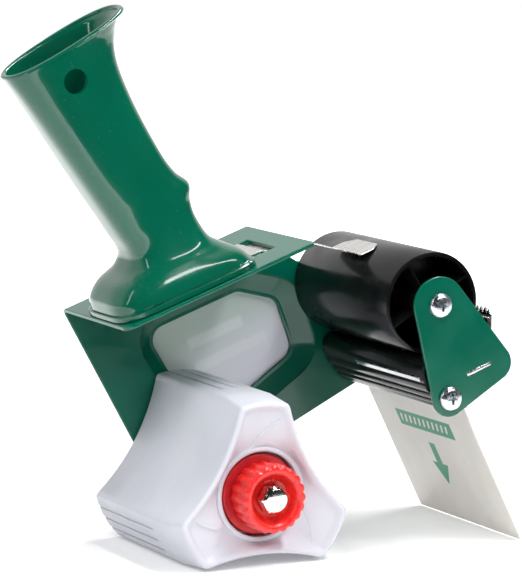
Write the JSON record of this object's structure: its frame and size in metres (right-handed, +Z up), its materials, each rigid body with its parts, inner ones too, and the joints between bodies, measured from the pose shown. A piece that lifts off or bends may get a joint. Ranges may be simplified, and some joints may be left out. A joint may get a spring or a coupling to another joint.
{
  "type": "tape dispenser",
  "caption": "Hand-held carton sealing tape dispenser with a lobed hub, roller, toothed cutter, wiper flap and hollow grip.",
  "frame": {"origin": "middle of the standing dispenser's footprint box, on the table", "axes": "+Z up, +X towards the roller and cutter, +Y towards the side plate, so the hub axle and the roller run along Y"},
  "size_m": [0.1989, 0.0966, 0.2104],
  "materials": {
    "green_enamel": "gloss",
    "green_plastic": "gloss",
    "frosted_panel": "frosted",
    "zinc": "bright zinc plate",
    "spring_steel": "polished",
    "white_plastic": "satin",
    "bright_nickel": "bright nickel",
    "red_plastic": "gloss",
    "dark_red_plastic": "satin",
    "brass": "machined",
    "black_plastic": "gloss",
    "chrome": "mirror",
    "bracket_steel": "bright rolled",
    "blade_steel": "ground",
    "clear_film": "pale translucent"
  },
  "bodies": {
    "base": {"frame": "green_enamel", "window_panel": "frosted_panel", "handle": "green_plastic", "handle_screws": "zinc", "leaf_clip": "spring_steel", "hub_sleeve": "zinc", "axle_stud": "zinc", "stop_nut": "bright_nickel", "axle_washer": "zinc", "axle_nut": "zinc", "roller_axle": "zinc", "roller_washers": "zinc", "end_plate": "green_enamel", "plate_screws": "zinc", "tie_rod": "chrome", "guide_bar": "black_plastic", "blade_bracket": "bracket_steel", "blade": "blade_steel", "blade_rivets": "zinc", "film_rail": "clear_film", "rail_rivets": "zinc"},
    "hub": {"hub": "white_plastic", "brake_spring": "spring_steel"},
    "disc": {"pressure_disc": "dark_red_plastic"},
    "knob": {"tension_knob": "red_plastic", "knob_insert": "brass"},
    "roller": {"roller": "black_plastic"},
    "leaf": {"leaf_tongue": "spring_steel"},
    "flap": {"film_flap": "clear_film"}
  },
  "joints": [
    {"name": "hub_spin", "type": "hinge", "parent": "base", "child": "hub", "pos_m": [-0.01174, -0.03893, 0.0267], "axis": [0, 1, 0], "continuous": true},
    {"name": "brake_travel", "type": "slide", "parent": "base", "child": "disc", "axis": [0, 1, 0], "range_m": [-0.0005, 0.0005]},
    {"name": "knob_turn", "type": "hinge", "parent": "disc", "child": "knob", "pos_m": [-0.01174, -0.03893, 0.0267], "axis": [0, 1, 0], "range_deg": [-180, 180]},
    {"name": "roller_spin", "type": "hinge", "parent": "base", "child": "roller", "pos_m": [0.05941, 0.00007, 0.09536], "axis": [0, 1, 0], "continuous": true},
    {"name": "leaf_flex", "type": "hinge", "parent": "base", "child": "leaf", "pos_m": [0.02031, 0.00308, 0.11774], "axis": [0, -1, 0], "range_deg": [0, 10], "stiffness_Nm_per_rad": 0.4},
    {"name": "flap_flex", "type": "hinge", "parent": "base", "child": "flap", "pos_m": [0.07229, 0.00007, 0.05398], "axis": [0, 1, 0], "range_deg": [-15, 15], "stiffness_Nm_per_rad": 2.5}
  ],
  "couplings": [
    {"joint": "brake_travel", "follows": "knob_turn", "m_per_rad": 0.00015915}
  ]
}
